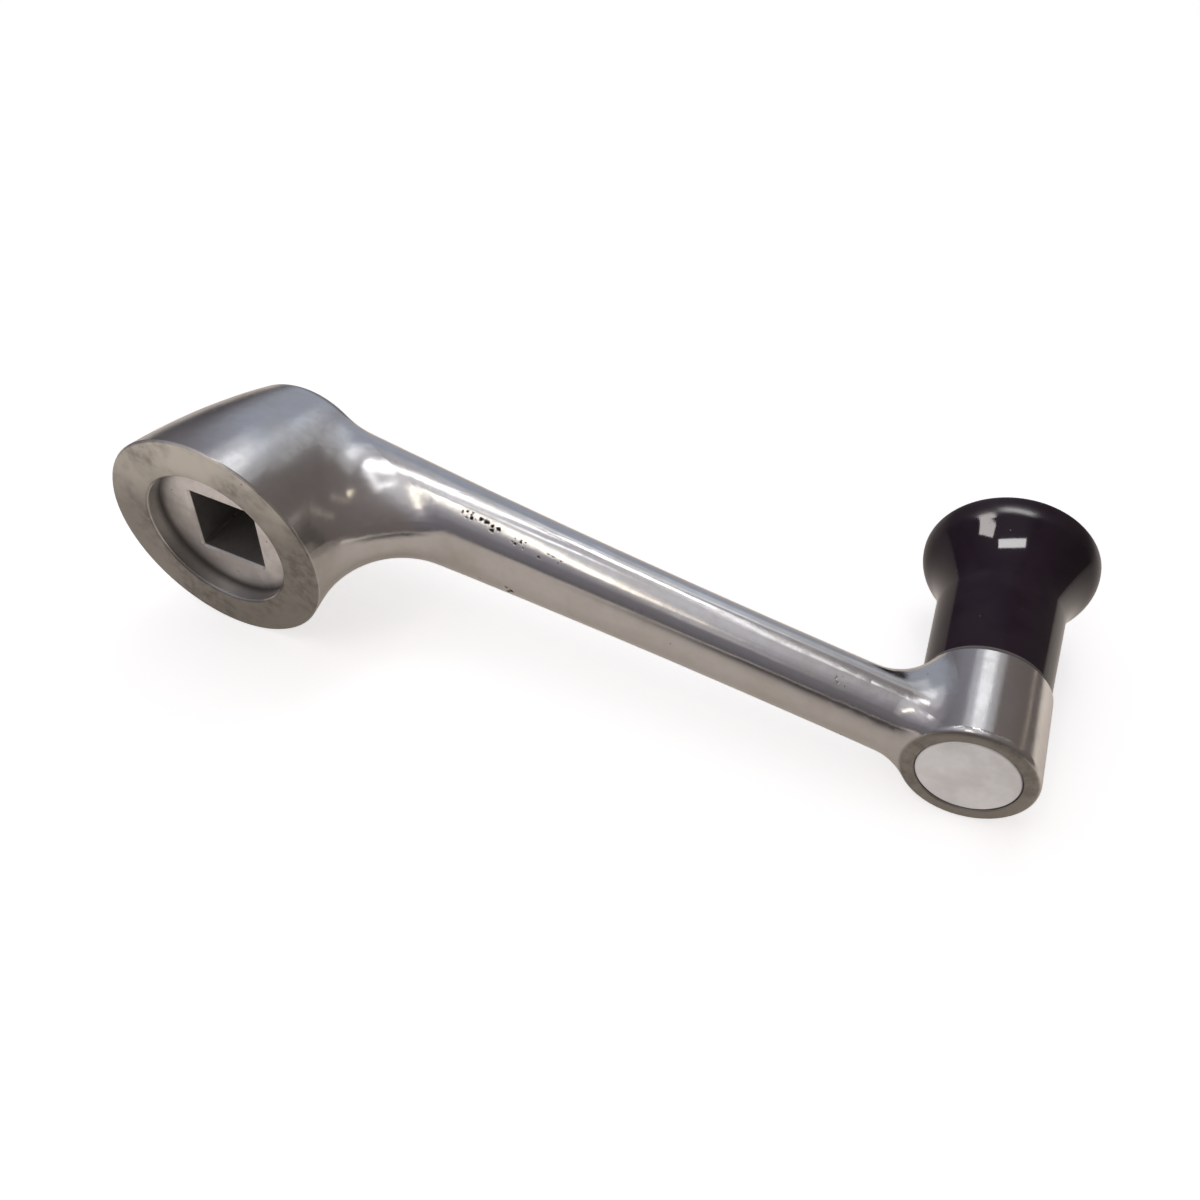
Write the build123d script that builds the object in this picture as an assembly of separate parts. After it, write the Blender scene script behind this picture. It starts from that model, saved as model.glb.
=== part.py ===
from build123d import *
from math import cos, radians, tan
import os

# Crank handle with a turning knob, in millimetres.
# The hub turns on the Y axis. Its mounting face lies at Y = 0 and faces -Y.
# The arm runs along +X to the knob's axis, and +Z is up as the crank lies on a bench.

# Crank
throw = 100.0  # hub axis to knob axis

# Hub: a barrel with a domed crown
hub_face_radius = 16.1
hub_belly_radius = 14.35
hub_belly_height = 10.0
hub_shoulder_radius = 10.5
hub_height = 27.2
hub_crown_rise = 4.1  # from the shoulder to the hub's top
hub_dome_radius = 20.0
hub_crown_round = 3.0
hub_edge_break = 0.3

# Arm: a tapered bar of oval section
arm_root_width = 16.2  # across the arm, where it starts inside the hub
arm_tip_width = 10.9  # across the arm, where it ends inside the boss
arm_flatness = 0.82  # thickness over width
arm_root_drop = 0.6  # from the hub's top to the arm's top, at its start
arm_tip_rise = 0.2  # from the boss's lower face to the arm's underside, at its end
arm_start = 3.0  # the bar's start, from the hub axis
arm_stop = 4.0  # the bar's end, short of the knob axis
arm_root_margin = 1.7  # straight bar beyond the blend, before the taper starts
arm_tip_reach = 18.0  # the straight tip's start, short of the knob axis
arm_spans = 5  # steps of the taper between the root and the tip
arm_root_blend = 12.2
arm_tip_blend = 8.5

# Boss that carries the knob
boss_radius = 8.1
boss_foot = 8.05  # from the mounting face to the boss's lower face
boss_height = 13.75
boss_foot_round = 0.9
boss_top_bevel = 0.2
pocket_edge_break = 0.15

# Drive bush, pressed in the hub
bush_radius = 10.5
bush_length = 13.4
bush_sink = 2.6  # from the mounting face to the bush
bush_edge_break = 0.3
square_size = 10.0
square_corner_round = 0.3

# Hole for the screw that holds the crank on its shaft
screw_hole_radius = 3.3
screw_head_radius = 5.6
screw_seat_thickness = 5.0  # metal between the bush and the screw's head

# Knob, turning on the spindle
knob_foot_radius = 7.8
knob_waist_radius = 8.25
knob_waist_height = 13.6
knob_flare_height = 18.25  # where the neck's line would meet the flare's slope
knob_flare_share = 0.73  # of the slope, where the flare turns back into the lip
knob_lip_height = 23.5  # where the flare's slope would meet the rim's line
knob_rim_radius = 11.85
knob_rim_height = 25.2
knob_rim_round = 0.9
knob_crown_slope = 20.0  # degrees from level, where the crown leaves the rim
knob_length = 28.4
knob_foot_bevel = 0.2
knob_float = 0.3  # gap between the knob and the boss
journal_clearance = 0.1

# Spindle, a shouldered screw from the knob's end to the boss
journal_radius = 3.5
stud_radius = 2.5
stud_clearance = 0.15
stud_end_break = 0.4
head_radius = 5.2
head_height = 2.6
head_edge_break = 0.3
head_clearance = 0.4
head_float = 0.2  # gap between the knob's pocket and the spindle's head
head_sink = 1.2  # from the knob's end to the head
slot_width = 1.2
slot_depth = 1.2

# Lock washer, nut and cover in the boss
washer_radius = 4.6
washer_clearance = 0.1
washer_thickness = 1.2
washer_gap = 0.8
washer_gap_slant = 20.0
nut_across_flats = 8.0
nut_height = 2.7
nut_thread_clearance = 0.05
nut_corner_slope = 30.0
stud_beyond_nut = 0.8
stud_to_cover = 0.5
cover_radius = 6.05
cover_clearance = 0.12
cover_thickness = 1.2
cover_sink = 0.12
cover_edge_break = 0.12
cover_ledge = 0.5

# Levels above the mounting face, from the sizes above
hub_shoulder_height = hub_height - hub_crown_rise
bush_top = bush_sink + bush_length
screw_seat = bush_top + screw_seat_thickness
boss_top = boss_foot + boss_height
cover_seat = boss_foot + cover_sink + cover_thickness
stud_end = cover_seat + stud_to_cover
nut_foot = stud_end + stud_beyond_nut
washer_foot = nut_foot + nut_height
nut_seat = washer_foot + washer_thickness
knob_foot = boss_top + knob_float
knob_end = knob_foot + knob_length
head_top = knob_end - head_sink
head_foot = head_top - head_height
pocket_floor = head_foot - head_float
cover_pocket_radius = cover_radius + cover_clearance
arm_root_reach = hub_face_radius + arm_root_blend + arm_root_margin
arm_root_height = hub_height - arm_root_drop - arm_flatness * arm_root_width / 2
arm_tip_height = boss_foot + arm_tip_rise + arm_flatness * arm_tip_width / 2

knob_axis = Axis((throw, 0, 0), (0, 1, 0))


def across(height, x=0.0):
    """A plane square to the hub's axis, at a height above the mounting face."""
    return Plane(origin=(x, height, 0), x_dir=(1, 0, 0), z_dir=(0, 1, 0))


def bar(radius, foot, top, x=0.0):
    """A round bar between two heights."""
    return extrude(across(foot, x) * Circle(radius), top - foot)


def turned(outline):
    """A solid turned about the hub's axis, with its seam on the side away from the arm."""
    return revolve(make_face(outline), Axis.Y).rotate(Axis.Y, 180)


def rims(solid, radius, height):
    """The round edges of a solid with this radius, at this height."""
    circles = solid.edges().filter_by(GeomType.CIRCLE)
    return circles.filter_by(lambda e: abs(e.radius - radius) < 0.01 and abs(e.arc_center.Y - height) < 0.01)


def arm_section(x):
    """The oval of the arm at a distance from the hub's axis, its width falling off fast at first."""
    share = (x - arm_start) / (throw - arm_stop - arm_start)
    width = arm_tip_width + (arm_root_width - arm_tip_width) * (1 - share) ** 2
    height = arm_root_height + (arm_tip_height - arm_root_height) * share
    plane = Plane(origin=(x, height, 0), x_dir=(0, 0, 1), z_dir=(1, 0, 0))
    return plane * Ellipse(width / 2, width / 2 * arm_flatness)


def arm_bar():
    """The arm from inside the hub to inside the boss, in straight spans."""
    step = (throw - arm_tip_reach - arm_root_reach) / arm_spans
    places = [arm_root_reach + i * step for i in range(arm_spans + 1)]
    return loft([arm_section(x) for x in [arm_start, *places, throw - arm_stop]], ruled=True)


def hub_barrel():
    belly = (hub_belly_radius, hub_belly_height)
    shoulder = (hub_shoulder_radius, hub_shoulder_height)
    outline = [
        Line((0, 0), (hub_face_radius, 0)),
        ThreePointArc((hub_face_radius, 0), belly, shoulder),
        RadiusArc(shoulder, (0, hub_height), -hub_dome_radius),
        Line((0, hub_height), (0, 0)),
    ]
    barrel = turned(outline)
    barrel = chamfer(rims(barrel, hub_face_radius, 0), hub_edge_break)
    return fillet(rims(barrel, hub_shoulder_radius, hub_shoulder_height), hub_crown_round)


def boss_blank():
    """The boss, with a softly rounded foot."""
    foot = Line((0, boss_foot), (boss_radius - boss_foot_round, boss_foot))
    corner = Bezier(foot @ 1, (boss_radius, boss_foot), (boss_radius, boss_foot + boss_foot_round))
    side = Polyline(corner @ 1, (boss_radius, boss_top), (0, boss_top), foot @ 0)
    boss = Pos(throw, 0, 0) * turned([foot, corner, side])
    return chamfer(rims(boss, boss_radius, boss_top), boss_top_bevel)


def seam(body, low, high):
    """The free-form edges between two distances along the arm, where two bodies have been joined."""
    edges = body.edges().filter_by(GeomType.BSPLINE)
    return edges.filter_by(lambda e: low < e.center().X < high)


def casting_blank():
    """Hub, arm and boss as one body, blended where they meet."""
    hub = hub_barrel()
    arm = arm_bar()
    body = hub + arm
    root = body.edges() - hub.edges() - arm.edges()
    body = fillet(root.filter_by(lambda e: e.center().X < throw / 2), arm_root_blend)
    body += boss_blank()
    return fillet(seam(body, throw - 2 * boss_radius, throw), arm_tip_blend)


def flat_face(body, height, x):
    """The flat face of a body at a height, nearest to a distance along the arm."""
    level = body.faces().filter_by(GeomType.PLANE)
    level = level.filter_by(lambda f: abs(f.center().Y - height) < 0.01)
    return level.sort_by(lambda f: abs(f.center().X - x))[0]


def crank_casting():
    """The aluminium casting, with its bores."""
    body = casting_blank()
    body -= bar(bush_radius, 0, bush_top)
    body -= bar(screw_hole_radius, bush_top, hub_height)
    body -= bar(screw_head_radius, screw_seat, hub_height)
    body -= bar(cover_pocket_radius, boss_foot, cover_seat, throw)
    body -= bar(cover_pocket_radius - cover_ledge, cover_seat, nut_seat, throw)
    body -= bar(stud_radius + stud_clearance, nut_seat, boss_top, throw)
    body = chamfer(rims(body, bush_radius, 0), hub_edge_break)
    return chamfer(rims(body, cover_pocket_radius, boss_foot), pocket_edge_break)


def drive_bush():
    """The steel bush with the square socket."""
    body = bar(bush_radius, bush_sink, bush_top)
    square = Rectangle(square_size, square_size)
    opening = across(bush_sink) * fillet(square.vertices(), square_corner_round)
    body -= extrude(opening, bush_length)
    mouth = flat_face(body, bush_sink, 0).inner_wires()[0]
    return chamfer(mouth.edges(), bush_edge_break)


def knob():
    """The moulded knob: a tapered neck, a flare to the rim, and a crown with a pocket for the spindle's head."""
    bore = journal_radius + journal_clearance
    pocket_radius = head_radius + head_clearance
    floor = pocket_floor - knob_foot
    slope_foot = Vector(knob_waist_radius, knob_flare_height)
    slope_top = Vector(knob_rim_radius, knob_lip_height)
    turn_back = slope_foot + (slope_top - slope_foot) * knob_flare_share
    foot = Line((bore, 0), (knob_foot_radius, 0))
    neck = Line(foot @ 1, (knob_waist_radius, knob_waist_height))
    flare = Bezier(neck @ 1, slope_foot, turn_back)
    lip = Bezier(turn_back, slope_top, (knob_rim_radius, knob_rim_height))
    rim = JernArc(lip @ 1, (0, 1), knob_rim_round, 90 - knob_crown_slope)
    crown = TangentArc(rim @ 1, (pocket_radius, knob_length), tangent=rim % 1)
    pocket = Polyline(crown @ 1, (pocket_radius, floor), (bore, floor), foot @ 0)
    outline = Pos(throw, knob_foot, 0) * make_face([foot, neck, flare, lip, rim, crown, pocket])
    body = revolve(outline, knob_axis)
    return chamfer(rims(body, knob_foot_radius, knob_foot), knob_foot_bevel)


def knob_spindle():
    """A shouldered screw: slotted head, journal for the knob and a stud through the boss."""
    body = bar(stud_radius, stud_end, boss_top, throw)
    body = chamfer(rims(body, stud_radius, stud_end), stud_end_break)
    body += bar(journal_radius, boss_top, head_foot, throw)
    head = bar(head_radius, head_foot, head_top, throw)
    body += chamfer(rims(head, head_radius, head_top), head_edge_break)
    slot = across(head_top - slot_depth, throw) * Rectangle(3 * head_radius, slot_width)
    return body - extrude(slot, 2 * slot_depth)


def lock_washer():
    """A split spring washer, drawn flat by its nut."""
    ring = bar(washer_radius, washer_foot, nut_seat, throw)
    ring -= bar(stud_radius + washer_clearance, washer_foot, nut_seat, throw)
    cut = Box(2 * washer_radius, 4 * washer_thickness, washer_gap)
    cut = Rot(washer_gap_slant, 0, 0) * cut
    middle = (washer_foot + nut_seat) / 2
    return ring - Pos(throw + washer_radius, middle, 0) * cut


def spindle_nut():
    """A thin hexagon nut, its corners bevelled on both sides."""
    hexagon = across(nut_foot, throw) * RegularPolygon(nut_across_flats / 2, 6, major_radius=False)
    body = extrude(hexagon, nut_height)
    corner = nut_across_flats / 2 / cos(radians(30))
    flat = nut_across_flats / 2
    bevel = (corner - flat) * tan(radians(nut_corner_slope))
    outline = Polyline(
        (0, 0), (flat, 0), (corner, bevel), (corner, nut_height - bevel), (flat, nut_height), (0, nut_height), (0, 0)
    )
    body &= revolve(Pos(throw, nut_foot, 0) * make_face(outline), knob_axis)
    return body - bar(stud_radius + nut_thread_clearance, nut_foot, washer_foot, throw)


def boss_cover():
    """The disc that closes the boss."""
    foot = boss_foot + cover_sink
    body = bar(cover_radius, foot, cover_seat, throw)
    return chamfer(rims(body, cover_radius, foot), cover_edge_break)


pieces = {
    "crank_casting": crank_casting,
    "drive_bush": drive_bush,
    "knob": knob,
    "knob_spindle": knob_spindle,
    "lock_washer": lock_washer,
    "spindle_nut": spindle_nut,
    "boss_cover": boss_cover,
}

os.makedirs("parts", exist_ok=True)
for name, make in pieces.items():
    export_step(make(), f"parts/{name}.step")
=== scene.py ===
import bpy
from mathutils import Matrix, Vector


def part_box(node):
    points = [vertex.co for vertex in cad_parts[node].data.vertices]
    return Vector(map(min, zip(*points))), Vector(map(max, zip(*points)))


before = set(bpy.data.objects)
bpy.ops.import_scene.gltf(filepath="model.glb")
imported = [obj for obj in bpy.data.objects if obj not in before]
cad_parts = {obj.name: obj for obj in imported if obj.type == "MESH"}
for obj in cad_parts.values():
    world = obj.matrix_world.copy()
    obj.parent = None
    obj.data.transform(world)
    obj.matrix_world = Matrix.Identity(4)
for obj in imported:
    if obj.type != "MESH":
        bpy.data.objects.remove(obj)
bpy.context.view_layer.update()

from math import cos, pi, radians, sin, tan

import bmesh
import bpy
from mathutils import Matrix, Vector

bl_info = {
    "name": "Crank handle",
    "version": (1, 0, 0),
    "blender": (4, 5, 0),
    "location": "View3D > Sidebar > Crank",
    "description": "Finishes a crank handle and sets it on a bench",
    "category": "Object",
}

MM = 0.001


def corners(name):
    """The lowest and the highest corner of a CAD piece, in millimetres."""
    low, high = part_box(name)
    return low / MM, high / MM


# Sizes that the finishes follow, in millimetres. The hub's axis is Y, and its face is at Y = 0.
cast_low, cast_high = corners("crank_casting")
bush_low, bush_high = corners("drive_bush")
cover_low, cover_high = corners("boss_cover")
knob_low, knob_high = corners("knob")
THROW = (cover_low.x + cover_high.x) / 2  # from the hub's axis to the knob's
HUB_AXIS = (0, 0, 0)
KNOB_AXIS = (THROW, 0, 0)
HUB_RADIUS = -cast_low.z
HUB_RIM = 0.3  # from the hub's face to its widest place
RECESS_RADIUS = bush_high.x
RECESS_DEPTH = bush_low.y
SQUARE = 10.0  # the drive socket, across its flats
BOSS_RADIUS = cast_high.x - THROW
BOSS_FOOT = cover_low.y - 0.12  # the cover is sunk that far into the boss's lower face
BOSS_RIM = BOSS_FOOT + 0.85  # where the foot's rounding ends
COVER_RADIUS = cover_high.x - THROW
KNOB_RADIUS = knob_high.x - THROW
KNOB_FOOT = knob_low.y
KNOB_RIM = KNOB_FOOT + 25.2  # where the knob is widest

# Where polishing opened the casting: both ends of a stretch, and how far from it the pits reach
PIT_ROW = ((29.8, 15.2, 5.9), (44.5, 13.2, 4.7), 0.75)
PIT_PATCH = ((34.0, 12.8, -2.2), (38.0, 12.4, -2.8), 1.2)
BOSS_STAIN = ((82.4, 11.4, 4.8), (84.4, 10.3, 3.8), 0.7)

# The middle of the crank, which the lamps stand round, in metres
MIDDLE_X = 0.05
MIDDLE_Y = 0.02

# The middle of a painted shadow on the bench in front of the boss, in millimetres
PAINTED_SHADOW_PLACE = (115, -105, -25)

# Brightness of the room by the cosine of the angle from its brightest direction
ROOM_LEVELS = ((0.0, 0.07), (0.55, 0.22), (0.72, 0.36), (0.85, 0.52), (0.94, 0.72), (1.0, 0.85))


class CrankFinish(bpy.types.PropertyGroup):
    """Colours and polish of the crank's metals and of its knob."""

    casting_colour: bpy.props.FloatVectorProperty(
        name="Casting", description="Polished aluminium",
        subtype="COLOR", size=3, default=(0.575, 0.57, 0.565),
    )
    # Wear, and also painted light: a painted highlight on the knob's foot edge and painted shade at the
    # cover's rim
    wear_and_painted_light_colour: bpy.props.FloatVectorProperty(
        name="Casting, worn", description="Aluminium dulled by hands",
        subtype="COLOR", size=3, default=(0.5, 0.48, 0.45),
    )
    faced_colour: bpy.props.FloatVectorProperty(
        name="Faced rings", description="Turned and dulled aluminium",
        subtype="COLOR", size=3, default=(0.31, 0.3, 0.275),
    )
    # Painted highlight: the colour that the hub's ring is painted toward its top
    ring_painted_highlight_colour: bpy.props.FloatVectorProperty(
        name="Faced rings, rubbed", description="Turned aluminium rubbed bright",
        subtype="COLOR", size=3, default=(0.7, 0.69, 0.64),
    )
    # Dark dirt in pits and smears, and painted shade in the recesses and their corners
    dirt_and_shade_colour: bpy.props.FloatVectorProperty(
        name="Grime", description="Dark dirt in pits and corners",
        subtype="COLOR", size=3, default=(0.045, 0.038, 0.034),
    )
    casting_polish: bpy.props.FloatProperty(
        name="Casting polish", description="Roughness of the polished sides",
        subtype="FACTOR", default=0.07,
    )
    faced_polish: bpy.props.FloatProperty(
        name="Ring polish", description="Roughness of the two faced rings",
        subtype="FACTOR", default=0.34,
    )
    bush_colour: bpy.props.FloatVectorProperty(
        name="Bush", description="Matt plated steel",
        subtype="COLOR", size=3, default=(0.84, 0.83, 0.83),
    )
    cover_colour: bpy.props.FloatVectorProperty(
        name="Cover", description="Matt light disc",
        subtype="COLOR", size=3, default=(0.9, 0.915, 0.925),
    )
    knob_colour: bpy.props.FloatVectorProperty(
        name="Knob", description="Gloss black moulding",
        subtype="COLOR", size=3, default=(0.006, 0.003, 0.006),
    )
    zinc_colour: bpy.props.FloatVectorProperty(
        name="Fasteners", description="Zinc plated steel",
        subtype="COLOR", size=3, default=(0.6, 0.6, 0.61),
    )


class CrankStudio(bpy.types.PropertyGroup):
    """The bench, the room and the camera."""

    bench_size: bpy.props.FloatProperty(
        name="Bench", description="Radius of the bench",
        subtype="DISTANCE", default=0.6,
    )
    bench_colour: bpy.props.FloatVectorProperty(
        name="Bench colour", description="Pale bench top",
        subtype="COLOR", size=3, default=(0.86, 0.79, 0.71),
    )
    backdrop_in_metal: bpy.props.FloatProperty(
        name="Backdrop in metal", description="How much of the white backdrop gloss shows",
        subtype="FACTOR", default=0.03,
    )
    lens: bpy.props.FloatProperty(
        name="Lens", description="Focal length",
        unit="CAMERA", default=29.78,
    )
    camera_place: bpy.props.FloatVectorProperty(
        name="Camera place", description="From the hub's face",
        subtype="TRANSLATION", size=3, default=(0.07763, -0.0702, 0.09684),
    )
    camera_right: bpy.props.FloatVectorProperty(
        name="Camera right", description="Direction to the right of the view",
        subtype="DIRECTION", size=3, default=(0.91703, 0.3906, 0.08054),
    )
    camera_up: bpy.props.FloatVectorProperty(
        name="Camera up", description="Direction to the top of the view",
        subtype="DIRECTION", size=3, default=(-0.33976, 0.65939, 0.67064),
    )


class Nodes:
    """Short ways to place the nodes of one shader tree and to join them."""

    def __init__(self, tree):
        self.tree = tree

    def fill(self, made, sockets):
        """Gives a node's inputs their values, or the outputs that feed them."""
        for key, value in dict(sockets).items():
            if isinstance(value, bpy.types.NodeSocket):
                self.tree.links.new(value, made.inputs[key])
            else:
                made.inputs[key].default_value = value
        return made

    def node(self, kind, sockets=(), **settings):
        """Adds a node with its settings and its inputs."""
        made = self.tree.nodes.new("ShaderNode" + kind)
        for name, value in settings.items():
            setattr(made, name, value)
        return self.fill(made, sockets)

    def maths(self, operation, *values):
        return self.node("Math", enumerate(values), operation=operation).outputs[0]

    def times(self, first, *others):
        """The product of numbers or masks."""
        for each in others:
            first = self.maths("MULTIPLY", first, each)
        return first

    def most(self, first, *others):
        """The largest of several masks."""
        for each in others:
            first = self.maths("MAXIMUM", first, each)
        return first

    def sum(self, total, *parts):
        """A number and masks times their weights, added up."""
        for mask, weight in parts:
            total = self.maths("ADD", total, self.times(mask, weight))
        return total

    def ramped(self, value, low, high, start=0.0, end=1.0):
        """A smooth step from start to end as a value goes from low to high."""
        sockets = {"Value": value, "From Min": low, "From Max": high, "To Min": start, "To Max": end}
        return self.node("MapRange", sockets, interpolation_type="SMOOTHSTEP").outputs["Result"]

    def vector(self, operation, *values, out="Vector"):
        return self.node("VectorMath", enumerate(values), operation=operation).outputs[out]

    def scaled(self, place, scale):
        """A vector times a number that may vary."""
        return self.node("VectorMath", {0: place, "Scale": scale}, operation="SCALE").outputs["Vector"]

    def noise(self, place, scale, detail=2.0, roughness=0.5):
        sockets = {"Vector": place, "Scale": scale, "Detail": detail, "Roughness": roughness}
        return self.node("TexNoise", sockets).outputs["Fac"]

    def blended(self, factor, first, second, way="MIX"):
        """Two colours mixed; a colour is an output or three numbers."""
        sockets = {0: factor}
        for key, colour in ((6, first), (7, second)):
            sockets[key] = colour if isinstance(colour, bpy.types.NodeSocket) else (*colour, 1)
        return self.node("Mix", sockets, data_type="RGBA", blend_type=way).outputs[2]

    def toward(self, place, azimuth, elevation):
        """The cosine of the angle between a direction and one on the bench."""
        return self.vector("DOT_PRODUCT", place, bench_direction(azimuth, elevation), out="Value")

    def backdrop(self, in_metal):
        """Where the white backdrop shows: full to the eye and through glass, faint in gloss."""
        path = self.node("LightPath").outputs
        plain = self.most(path["Is Camera Ray"], path["Is Transmission Ray"])
        return self.most(plain, self.times(path["Is Glossy Ray"], in_metal))


class Effect(Nodes):
    """A shader node group under way, with named inputs and outputs of numbers and places."""

    def __init__(self, name, inputs, outputs):
        super().__init__(bpy.data.node_groups.new(name, "ShaderNodeTree"))
        interface = self.tree.interface
        for label, value in inputs.items():
            kind = "NodeSocketFloat" if isinstance(value, float) else "NodeSocketVector"
            socket = interface.new_socket(name=label, in_out="INPUT", socket_type=kind)
            socket.default_value = value
        for label in outputs:
            interface.new_socket(name=label, in_out="OUTPUT", socket_type="NodeSocketFloat")
        self.given = self.tree.nodes.new("NodeGroupInput").outputs
        self.place = self.given["Place"]

    def put_out(self, made):
        """Joins the outputs and returns the group's tree."""
        self.fill(self.tree.nodes.new("NodeGroupOutput"), made)
        return self.tree


def haze_group(name):
    """Cloudy patches left by hands and cloths, and the finer mottling inside them."""
    group = Effect(name, {"Place": (0, 0, 0), "Size": 8.0}, ["Cloud", "Mottle"])
    wide = group.maths("DIVIDE", 1.0, group.given["Size"])
    cloud = group.noise(group.place, wide, 3.0, 0.55)
    mottle = group.noise(group.place, group.times(wide, 6.0), 4.0, 0.6)
    made = {"Cloud": group.ramped(cloud, 0.38, 0.64), "Mottle": group.ramped(mottle, 0.35, 0.68)}
    return group.put_out(made)


def lines_group(name):
    """Fine lines of a belt or a cloth; Stretch is large across the lines and small along them."""
    group = Effect(name, {"Place": (0, 0, 0), "Stretch": (1, 1, 1)}, ["Lines"])
    drawn = group.vector("MULTIPLY", group.place, group.given["Stretch"])
    coarse = group.noise(drawn, 1.0, 1.0)
    fine = group.noise(drawn, 3.1, 2.0, 0.6)
    both = group.maths("ADD", group.times(coarse, 0.5), group.times(fine, 0.5))
    return group.put_out({"Lines": group.ramped(both, 0.36, 0.64)})


def turning_group(name):
    """Marks of a lathe tool on a face, round an axis along Y through Centre."""
    inputs = {"Place": (0, 0, 0), "Centre": (0, 0, 0), "Pitch": 0.2}
    group = Effect(name, inputs, ["Marks", "Radius"])
    offset = group.vector("SUBTRACT", group.place, group.given["Centre"])
    flat = group.vector("MULTIPLY", offset, (1, 0, 1))
    radius = group.vector("LENGTH", flat, out="Value")
    across = group.maths("DIVIDE", radius, group.given["Pitch"])
    # One step per mark outwards, and a slow change on the way round
    outwards = group.node("CombineXYZ", {1: across}).outputs[0]
    round_it = group.scaled(group.vector("NORMALIZE", flat), 0.7)
    marks = group.noise(group.vector("ADD", outwards, round_it), 1.0, 3.0, 0.65)
    return group.put_out({"Marks": group.ramped(marks, 0.36, 0.64), "Radius": radius})


def specks_group(name):
    """Small specks or pits of uneven size; Share is the part of the cells that have one."""
    inputs = {"Place": (0, 0, 0), "Spacing": 2.0, "Size": 0.15, "Share": 0.2}
    group = Effect(name, inputs, ["Specks"])
    # Ragged edges, from places moved a little
    moved = group.node("TexNoise", {"Vector": group.place, "Scale": 3.0}).outputs["Color"]
    place = group.vector("ADD", group.place, group.scaled(moved, 0.35))
    density = group.maths("DIVIDE", 1.0, group.given["Spacing"])
    cells = group.node("TexVoronoi", {"Vector": place, "Scale": density}).outputs
    chance = group.node("SeparateColor", {0: cells["Color"]}).outputs
    reach = group.times(group.given["Size"], group.maths("ADD", chance[1], 0.35))
    near = group.ramped(group.maths("DIVIDE", cells["Distance"], reach), 1.0, 0.6)
    kept = group.maths("LESS_THAN", chance[0], group.given["Share"])
    return group.put_out({"Specks": group.times(near, kept)})


class Finish(Nodes):
    """A material under way: its tree, its shader and the place on the piece in millimetres."""

    def __init__(self, name, colour, roughness, metallic=0):
        self.material = bpy.data.materials.new(name)
        self.material.use_nodes = True
        super().__init__(self.material.node_tree)
        self.shader = self.tree.nodes["Principled BSDF"]
        self.fill(self.shader, {"Base Color": (*colour, 1), "Metallic": metallic, "Roughness": roughness})
        self.place = self.scaled(self.node("TexCoord").outputs["Object"], 1 / MM)
        self.x, self.y, self.z = self.node("SeparateXYZ", {0: self.place}).outputs

    def effect(self, name, build, sockets):
        """Places a shared effect, built the first time it is asked for; returns its outputs."""
        group = bpy.data.node_groups.get(name) or build(name)
        return self.node("Group", {"Place": self.place, **sockets}, node_tree=group).outputs

    def haze(self, size):
        return self.effect("handling haze", haze_group, {"Size": size})

    def lines(self, stretch):
        return self.effect("fine lines", lines_group, {"Stretch": stretch})["Lines"]

    def turning(self, centre, pitch):
        return self.effect("turning marks", turning_group, {"Centre": centre, "Pitch": pitch})

    def specks(self, spacing, size, share):
        sockets = {"Spacing": spacing, "Size": size, "Share": share}
        return self.effect("specks", specks_group, sockets)["Specks"]

    def near_line(self, start, end, reach):
        """A mask round the straight line between two points, which fades out at its reach."""
        start, end = Vector(start), Vector(end)
        line = end - start
        offset = self.vector("SUBTRACT", self.place, start)
        along = self.vector("DOT_PRODUCT", offset, line / line.length_squared, out="Value")
        foot = self.scaled(line, self.node("Clamp", {0: along}).outputs[0])
        gap = self.vector("DISTANCE", offset, foot, out="Value")
        return self.ramped(gap, reach, reach * 0.45)

    def colour(self, *layers):
        """Lays colours over the plain one, each with its mask and its strength."""
        socket = self.shader.inputs["Base Color"]
        top = socket.default_value[:3]
        for mask, strength, colour in layers:
            top = self.blended(self.times(mask, strength), top, colour)
        self.tree.links.new(top, socket)

    def roughness(self, *parts):
        """Adds masks times their weights to the plain roughness."""
        socket = self.shader.inputs["Roughness"]
        self.tree.links.new(self.sum(socket.default_value, *parts), socket)

    def relief(self, *parts):
        """Small unevenness, each part a mask and its height in millimetres."""
        height = self.sum(0.0, *parts)
        bump = self.node("Bump", {"Strength": 1.0, "Distance": MM, "Height": height})
        self.tree.links.new(bump.outputs["Normal"], self.shader.inputs["Normal"])

    def dress(self, name, slot):
        """Puts the material on a CAD node."""
        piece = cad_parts[name]
        piece.data.materials.clear()
        piece.data.materials.append(self.material)


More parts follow.
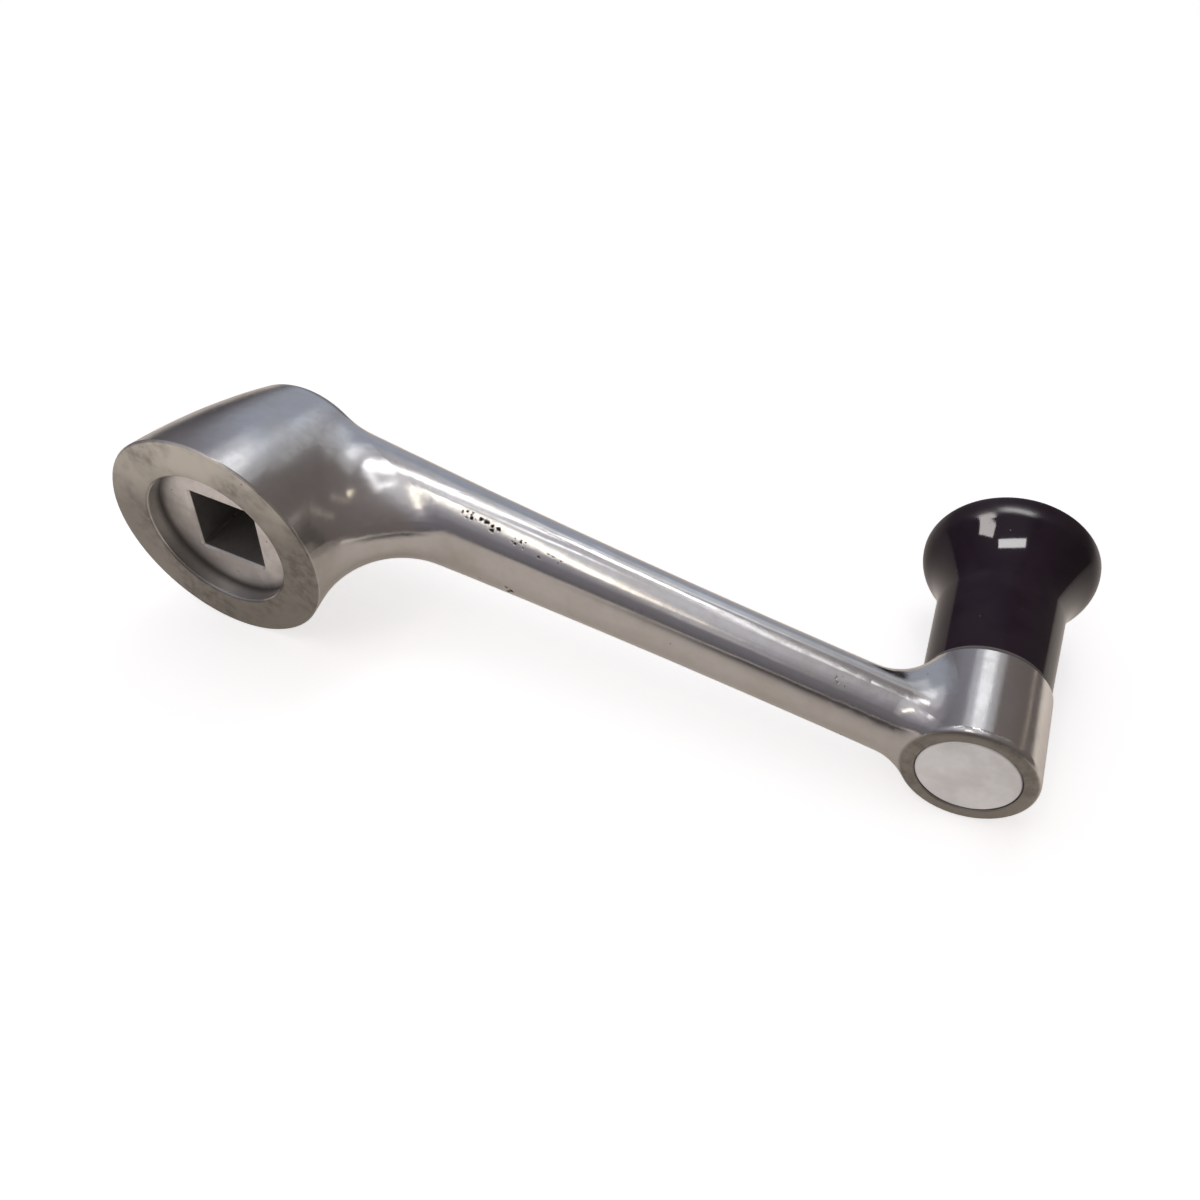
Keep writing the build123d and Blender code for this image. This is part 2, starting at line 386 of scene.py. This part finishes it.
class CRANK_OT_casting(bpy.types.Operator):
    """Finish the aluminium casting"""

    bl_idname = "crank.casting"
    bl_label = "Casting"

    def execute(self, context):
        values = context.scene.crank_finish
        wear_and_painted_light, dirt_and_shade = values.wear_and_painted_light_colour, values.dirt_and_shade_colour
        done = Finish("polished aluminium", values.casting_colour, values.casting_polish, metallic=1)
        cloud, mottle = done.haze(size=9.0)
        hub_marks, hub_radius = done.turning(HUB_AXIS, pitch=0.35)
        boss_marks, boss_radius = done.turning(KNOB_AXIS, pitch=0.3)
        # The two faced rings
        hub_ring = done.ramped(done.y, HUB_RIM - 0.02, HUB_RIM - 0.18)
        boss_ring = done.times(
            done.ramped(done.y, BOSS_FOOT + 0.55, BOSS_FOOT + 0.05),
            done.ramped(boss_radius, BOSS_RADIUS + 0.1, BOSS_RADIUS - 0.4),
        )
        faced = done.most(hub_ring, boss_ring)
        side = done.maths("SUBTRACT", 1.0, faced)
        marks = done.maths("ADD", done.times(hub_ring, hub_marks), done.times(boss_ring, boss_marks))
        # The recess and the cover's pocket, darkened as painted shade, most of all in their corners
        recess = done.times(
            done.ramped(hub_radius, RECESS_RADIUS + 0.35, RECESS_RADIUS + 0.1),
            done.ramped(done.y, 0.2, 0.6),
        )
        pocket = done.times(
            done.ramped(boss_radius, COVER_RADIUS + 0.25, COVER_RADIUS + 0.15),
            done.ramped(done.y, BOSS_FOOT + 0.05, BOSS_FOOT + 0.25),
        )
        bores = done.most(recess, pocket)
        corner = done.most(
            done.times(recess, done.ramped(done.y, RECESS_DEPTH / 2, RECESS_DEPTH - 0.1)),
            done.times(pocket, done.ramped(done.y, BOSS_FOOT + 0.25, BOSS_FOOT + 0.75)),
        )
        # The hub's ring, painted lighter toward the top as a painted highlight, and smeared elsewhere
        upward = done.sum(done.z, (done.x, -0.15), (cloud, -4.0))
        ring_painted_highlight = done.times(hub_ring, done.ramped(upward, 1.0, 15.0))
        smears = done.times(mottle, cloud, 0.4)
        # Casting pits that the polishing opened, a stain near the boss and a few pits anywhere
        opened = done.times(
            done.most(done.near_line(*PIT_ROW), done.near_line(*PIT_PATCH)),
            done.specks(spacing=0.85, size=0.46, share=0.72),
        )
        stain = done.times(done.near_line(*BOSS_STAIN), done.specks(spacing=0.7, size=0.5, share=0.6), 0.5)
        pits = done.most(opened, stain, done.specks(spacing=3.4, size=0.07, share=0.16))
        # Fine lines round the arm and along the hub's barrel
        belt = done.lines((9.0, 0.5, 0.5))
        cloth = done.lines((0.35, 6.0, 6.0))
        # The polisher's uneven hand, calmer and duller where the arm leaves the hub
        calm = done.ramped(done.x, 24.0, 40.0, start=0.2)
        waves = done.times(done.noise(done.place, scale=0.16, detail=1.0), calm)
        neck = done.times(done.ramped(done.x, 42.0, 26.0), side)
        done.colour(
            (cloud, 0.45, wear_and_painted_light),
            (mottle, 0.05, dirt_and_shade),
            (faced, 1.0, values.faced_colour),
            (ring_painted_highlight, 1.0, values.ring_painted_highlight_colour),
            (faced, smears, dirt_and_shade),
            (bores, 0.12, dirt_and_shade),
            (corner, 0.5, dirt_and_shade),
            (pits, 1.0, dirt_and_shade),
        )
        done.roughness(
            (done.times(cloud, side), 0.04),
            (done.times(mottle, side), 0.03),
            (done.times(belt, side), 0.045),
            (neck, 0.05),
            (faced, values.faced_polish - values.casting_polish),
            (marks, 0.08),
            (bores, 0.2),
            (smears, 0.1),
            (pits, 0.5),
        )
        done.relief(
            (waves, 0.05),
            (done.times(belt, side), 0.0012),
            (done.times(cloth, side), 0.0006),
            (marks, 0.003),
            (done.times(mottle, faced), 0.01),
            (pits, -0.035),
        )
        done.dress("crank_casting", "cast_aluminium")
        return {"FINISHED"}


class CRANK_OT_bush(bpy.types.Operator):
    """Finish the drive bush"""

    bl_idname = "crank.bush"
    bl_label = "Drive bush"

    def execute(self, context):
        values = context.scene.crank_finish
        wear_and_painted_light, dirt_and_shade = values.wear_and_painted_light_colour, values.dirt_and_shade_colour
        done = Finish("matt plated steel", values.bush_colour, 0.38, metallic=1)
        cloud, mottle = done.haze(size=5.0)
        marks, radius = done.turning(HUB_AXIS, pitch=0.3)
        # Painted shade next to the recess wall and down in the square socket
        corner = done.ramped(radius, RECESS_RADIUS - 1.3, RECESS_RADIUS)
        across = done.most(done.maths("ABSOLUTE", done.x), done.maths("ABSOLUTE", done.z))
        socket = done.times(
            done.ramped(across, SQUARE / 2 + 0.25, SQUARE / 2 + 0.02),
            done.ramped(done.y, RECESS_DEPTH + 0.1, RECESS_DEPTH + 0.6),
        )
        specks = done.specks(spacing=1.6, size=0.09, share=0.25)
        # Painted shade, darker toward the lower left
        low = done.ramped(done.sum(done.z, (done.x, 0.8), (cloud, -5.0)), 2.0, -11.0)
        done.colour(
            (cloud, 0.35, wear_and_painted_light),
            (mottle, 0.15, wear_and_painted_light),
            (low, 0.2, dirt_and_shade),
            (corner, 0.5, dirt_and_shade),
            (socket, 0.4, dirt_and_shade),
            (specks, 0.7, dirt_and_shade),
        )
        done.roughness((cloud, 0.08), (marks, 0.06), (corner, 0.12), (socket, 0.1))
        done.relief((marks, 0.002), (mottle, 0.006), (specks, -0.02))
        done.dress("drive_bush", "plated_steel")
        return {"FINISHED"}


class CRANK_OT_cover(bpy.types.Operator):
    """Finish the disc that closes the boss"""

    bl_idname = "crank.cover"
    bl_label = "Boss cover"

    def execute(self, context):
        values = context.scene.crank_finish
        wear_and_painted_light, dirt_and_shade = values.wear_and_painted_light_colour, values.dirt_and_shade_colour
        done = Finish("matt disc", values.cover_colour, 0.36, metallic=0.1)
        cloud, mottle = done.haze(size=6.0)
        marks, radius = done.turning(KNOB_AXIS, pitch=0.25)
        specks = done.specks(spacing=1.5, size=0.1, share=0.12)
        # Painted shade at the rim, next to the gap round the disc
        rim = done.ramped(radius, COVER_RADIUS - 0.35, COVER_RADIUS)
        done.colour((cloud, 0.3, wear_and_painted_light), (mottle, 0.08, wear_and_painted_light), (rim, 0.25, wear_and_painted_light), (specks, 0.7, dirt_and_shade))
        done.roughness((cloud, 0.08), (mottle, 0.05), (marks, 0.03))
        done.relief((mottle, 0.003), (marks, 0.0006), (specks, -0.01))
        done.dress("boss_cover", "cover_disc")
        return {"FINISHED"}


class CRANK_OT_knob(bpy.types.Operator):
    """Finish the black knob"""

    bl_idname = "crank.knob"
    bl_label = "Knob"

    def execute(self, context):
        values = context.scene.crank_finish
        wear_and_painted_light = values.wear_and_painted_light_colour
        done = Finish("gloss black", values.knob_colour, 0.05)
        done.fill(done.shader, {"Specular IOR Level": 0.2})
        cloud, mottle = done.haze(size=7.0)
        dust = done.specks(spacing=0.9, size=0.05, share=0.16)
        scuffs = done.lines((1.5, 11.0, 1.5))
        waves = done.noise(done.place, scale=0.45, detail=1.0)
        # The edge at the foot, lighter as a painted highlight and rougher, and the rim, dulled by the hand
        edge = done.ramped(done.y, KNOB_FOOT + 0.4, KNOB_FOOT + 0.2)
        radius = done.turning(KNOB_AXIS, pitch=1.0)["Radius"]
        rim = done.times(
            done.ramped(radius, KNOB_RADIUS - 1.15, KNOB_RADIUS - 0.35),
            done.ramped(done.y, KNOB_RIM - 3.8, KNOB_RIM - 2.1),
        )
        done.colour((dust, 0.35, wear_and_painted_light), (cloud, 0.004, wear_and_painted_light), (edge, 0.12, wear_and_painted_light))
        done.roughness(
            (rim, 0.2),
            (cloud, 0.035),
            (mottle, 0.015),
            (scuffs, 0.012),
            (dust, 0.3),
            (edge, 0.3),
        )
        done.relief((waves, 0.006), (scuffs, 0.0002), (dust, 0.004))
        done.dress("knob", "black_knob")
        return {"FINISHED"}


class CRANK_OT_fasteners(bpy.types.Operator):
    """Finish the spindle, its washer and its nut"""

    bl_idname = "crank.fasteners"
    bl_label = "Spindle, washer and nut"

    def execute(self, context):
        values = context.scene.crank_finish
        done = Finish("zinc plate", values.zinc_colour, 0.26, metallic=1)
        cloud, mottle = done.haze(size=3.0)
        marks = done.turning(KNOB_AXIS, pitch=0.2)["Marks"]
        done.colour((cloud, 0.4, values.wear_and_painted_light_colour), (mottle, 0.15, values.dirt_and_shade_colour))
        done.roughness((cloud, 0.1), (marks, 0.08))
        done.relief((marks, 0.002), (mottle, 0.002))
        for name in ("knob_spindle", "lock_washer", "spindle_nut"):
            done.dress(name, "zinc_steel")
        return {"FINISHED"}


def bench_plane():
    """The plane that the rims of hub, boss and knob rest on, as the matrix that takes Z up to it."""
    # Each rim's place along X and Y and its radius
    rims = ((0, HUB_RIM, HUB_RADIUS), (THROW, BOSS_RIM, BOSS_RADIUS), (THROW, KNOB_RIM, KNOB_RADIUS))
    places = Matrix([(1, x, y) for x, y, radius in rims])
    # A rim touches a sloping bench beside its own lowest point; the slope settles in a few rounds
    slope = 0.0
    for _ in range(8):
        lean = (1 + slope * slope) ** 0.5
        start, slope, side = places.inverted() @ Vector([-radius * lean for x, y, radius in rims])
    up = Vector((-slope, -side, 1)).normalized()
    along = (Vector((1, 0, 0)) - up * up.x).normalized()
    facing = Matrix((along, up.cross(along), up)).transposed()
    height = start * MM + slope * MIDDLE_X + side * MIDDLE_Y
    return Matrix.LocRotScale(Vector((MIDDLE_X, MIDDLE_Y, height)), facing, None)


BENCH = bench_plane()


def bench_direction(azimuth, elevation):
    """A unit vector by its angles on the bench, in degrees; azimuth 0 is along the arm."""
    azimuth, elevation = radians(azimuth), radians(elevation)
    flat = cos(elevation)
    return BENCH.to_3x3() @ Vector((flat * cos(azimuth), flat * sin(azimuth), sin(elevation)))


def bench(studio):
    """The pale round bench top under the crank."""
    mesh = bpy.data.meshes.new("bench")
    top = bmesh.new()
    bmesh.ops.create_circle(top, cap_ends=True, radius=studio.bench_size, segments=96, matrix=BENCH)
    top.to_mesh(mesh)
    top.free()
    piece = bpy.data.objects.new("bench", mesh)
    bpy.context.scene.collection.objects.link(piece)
    mesh.materials.append(bench_top(studio))


def bench_top(studio):
    """The bench as the metals reflect it; to the eye it is plain white, and from below it is clear."""
    done = Finish("bench top", studio.bench_colour, 0.9)
    done.fill(done.shader, {"Specular IOR Level": 0.0, "Emission Color": (1, 0.9, 0.78, 1)})
    # Painted light that only the metals see: painted shade far off, a painted shadow in front of the boss,
    # and a painted glow that lights the rest, most past the knob
    away = done.vector("DISTANCE", done.place, BENCH.translation / MM, out="Value")
    shade = done.vector("DISTANCE", done.place, PAINTED_SHADOW_PLACE, out="Value")
    done.colour(
        (done.haze(size=30.0)["Mottle"], 0.04, (0.6, 0.58, 0.55)),
        (done.ramped(away, 150.0, 320.0), 1.0, (0.4, 0.385, 0.37)),
        (done.ramped(shade, 115.0, 62.0), 1.0, (0.1, 0.085, 0.095)),
    )
    beyond = done.ramped(done.x, 105.0, 150.0, end=0.3)
    glow = done.maths("ADD", done.ramped(shade, 62.0, 115.0, start=0.01, end=0.18), beyond)
    done.fill(done.shader, {"Emission Strength": glow})
    pale = done.node("BsdfDiffuse", {"Color": (0.8, 0.79, 0.78, 1)}).outputs[0]
    light = done.node("Emission", {"Color": (1, 1, 1, 1), "Strength": 0.66}).outputs[0]
    white = done.node("AddShader", {0: pale, 1: light}).outputs[0]
    shown = done.backdrop(studio.backdrop_in_metal)
    seen = done.node("MixShader", {0: shown, 1: done.shader.outputs[0], 2: white}).outputs[0]
    under = done.node("NewGeometry").outputs["Backfacing"]
    clear = done.node("BsdfTransparent").outputs[0]
    above = done.node("MixShader", {0: under, 1: seen, 2: clear}).outputs[0]
    done.fill(done.tree.nodes["Material Output"], {"Surface": above})
    return done.material


def room(studio):
    """A room round the bench: light above and behind the viewer, dim at the bench, with one light wall."""
    world = bpy.data.worlds.new("room")
    bpy.context.scene.world = world
    world.use_nodes = True
    world.node_tree.nodes.clear()
    walls = Nodes(world.node_tree)
    place = walls.node("TexCoord").outputs["Generated"]
    ramp = walls.node("ValToRGB", {0: walls.toward(place, -140, 72)})
    ramp.color_ramp.interpolation = "EASE"
    stops = ramp.color_ramp.elements
    for at, _ in ROOM_LEVELS[1:-1]:
        stops.new(at)
    for stop, (_, level) in zip(stops, ROOM_LEVELS):
        stop.color = (level, level * (0.9 + 0.1 * level), level * 1.04, 1)
    # The light wall behind the crank, and the dark side past the knob
    wall = walls.ramped(walls.toward(place, 98, 16), cos(radians(38)), cos(radians(20)))
    lit = walls.blended(wall, ramp.outputs["Color"], (0.45, 0.48, 0.57), "LIGHTEN")
    past = walls.ramped(walls.toward(place, 0, 0), -0.02, 0.26, end=0.75)
    lit = walls.blended(past, lit, (0.2, 0.165, 0.15))
    inside = walls.node("Background", {"Color": lit, "Strength": 1.0}).outputs[0]
    white = walls.node("Background", {"Color": (1, 1, 1, 1), "Strength": 1.0}).outputs[0]
    shown = walls.backdrop(studio.backdrop_in_metal)
    seen = walls.node("MixShader", {0: shown, 1: inside, 2: white}).outputs[0]
    walls.node("OutputWorld", {"Surface": seen})


def lit_pieces(label, names):
    """A collection of pieces that some of the lamps light."""
    made = bpy.data.collections.new(label)
    for name in names:
        made.objects.link(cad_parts[name])
    return made


def soft_lamp(
    name, start, end, width, radiance, lights,
    colour=(1, 1, 1), distance=1.2, spread=90, seen_from=(MIDDLE_X, MIDDLE_Y, 0),
):
    """A long soft lamp between two directions from a place.

    Each direction is an azimuth and an elevation on the bench, and the width is an angle too, in
    degrees; distance and place are in metres. A spread under 90 degrees keeps the lamp's light
    near the place that it faces.
    """
    a = bench_direction(*start) * distance
    b = bench_direction(*end) * distance
    middle = (a + b) / 2
    lamp = bpy.data.lights.new(name, "AREA")
    lamp.shape = "RECTANGLE"
    lamp.size = (b - a).length
    lamp.size_y = 2 * distance * sin(radians(width) / 2)
    lamp.spread = radians(2 * spread)
    # A narrow spread gathers the power, so that less of it gives the same radiance
    kept = 1 - radians(spread) / tan(radians(spread))
    lamp.energy = radiance * kept * pi * lamp.size * lamp.size_y
    lamp.color = colour
    along = (b - a).normalized()
    back = (middle - along * middle.dot(along)).normalized()
    facing = Matrix((along, back.cross(along), back)).transposed()
    stand = bpy.data.objects.new(name, lamp)
    bpy.context.scene.collection.objects.link(stand)
    stand.matrix_world = Matrix.LocRotScale(Vector(seen_from) + middle, facing, None)
    stand.light_linking.receiver_collection = lights


def lamps():
    """The windows and lamps of the room; most of them light everything but the knob."""
    metals = lit_pieces("metal pieces", [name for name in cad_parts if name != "knob"])
    metals.objects.link(bpy.data.objects["bench"])
    cover = lit_pieces("matt cover", ["boss_cover"])
    black = lit_pieces("black knob", ["knob"])
    cool, warm = (0.93, 0.97, 1), (1, 0.85, 0.7)
    neck = {"distance": 0.15, "spread": 32, "seen_from": (0.018, 0.016, 0.007)}
    soft_lamp("ceiling strip", (109, 63), (92, 70), 3, 6.0, metals)
    soft_lamp("ceiling strip, far end", (92, 70), (-40, 82), 3, 2.2, metals)
    soft_lamp("near strip", (100, 67), (170, 71), 9, 3.6, metals, **neck)
    soft_lamp("near strip, lower", (-14, 86), (-141, 77), 4, 2.2, metals, **neck)
    soft_lamp("rear window", (82, 50), (106, 49), 10, 0.85, metals, colour=(0.97, 0.98, 1))
    soft_lamp("rear window, rim", (66, 50), (120, 47), 21, 0.35, metals, colour=cool)
    soft_lamp("rear wall, light part", (72, 28), (98, 34), 18, 0.3, metals, colour=cool)
    soft_lamp("front window", (-140, 66), (-103, 42), 5, 3.0, metals, colour=(1, 0.9, 0.74))
    soft_lamp("front window, foot", (-103, 42), (-97, 28), 6, 0.35, metals, colour=(1, 0.95, 0.85))
    soft_lamp("small lamp", (26, 58), (30, 58), 3.5, 7.0, metals, colour=(1, 0.88, 0.65))
    soft_lamp("shelf", (18, 52), (38, 36), 3, 0.35, metals, colour=warm)
    soft_lamp("shelf, lower", (50, 6), (20, 28), 3, 0.3, metals, colour=warm)
    soft_lamp("cover lamp", (-150, 30), (-120, 30), 28, 4.6, cover)
    soft_lamp("knob lamp, side", (-169, 38.5), (-169, 57), 15, 24.0, black, colour=(1, 0.95, 0.92))
    soft_lamp("knob lamp, above", (163, 64), (8, 80), 10, 32.0, black, colour=(1, 0.98, 0.97))


def viewpoint(studio):
    """The camera, above and in front of the arm."""
    eye = bpy.data.cameras.new("camera")
    eye.lens = studio.lens
    eye.sensor_width = 36
    eye.clip_start = 0.01
    right, up = studio.camera_right, studio.camera_up
    facing = Matrix((right, up, right.cross(up))).transposed()
    camera = bpy.data.objects.new("camera", eye)
    bpy.context.scene.collection.objects.link(camera)
    camera.matrix_world = Matrix.LocRotScale(studio.camera_place, facing, None)
    bpy.context.scene.camera = camera


class CRANK_OT_stage(bpy.types.Operator):
    """Set the bench, the room, the lamps and the camera"""

    bl_idname = "crank.stage"
    bl_label = "Stage"

    def execute(self, context):
        studio = context.scene.crank_studio
        bench(studio)
        room(studio)
        lamps()
        viewpoint(studio)
        context.scene.view_settings.view_transform = "Standard"
        return {"FINISHED"}


class CRANK_PT_panel(bpy.types.Panel):
    """The crank's pieces and its stage"""

    bl_idname = "CRANK_PT_panel"
    bl_label = "Crank handle"
    bl_space_type = "VIEW_3D"
    bl_region_type = "UI"
    bl_category = "Crank"

    def draw(self, context):
        for step in steps:
            self.layout.operator(step.bl_idname)


steps = (
    CRANK_OT_casting,
    CRANK_OT_bush,
    CRANK_OT_cover,
    CRANK_OT_knob,
    CRANK_OT_fasteners,
    CRANK_OT_stage,
)
classes = (CrankFinish, CrankStudio, *steps, CRANK_PT_panel)


def register():
    for each in classes:
        bpy.utils.register_class(each)
    bpy.types.Scene.crank_finish = bpy.props.PointerProperty(type=CrankFinish)
    bpy.types.Scene.crank_studio = bpy.props.PointerProperty(type=CrankStudio)


def unregister():
    del bpy.types.Scene.crank_studio
    del bpy.types.Scene.crank_finish
    for each in reversed(classes):
        bpy.utils.unregister_class(each)


def main():
    register()
    for step in steps:
        group, name = step.bl_idname.split(".")
        getattr(getattr(bpy.ops, group), name)()


if __name__ == "__main__":
    main()
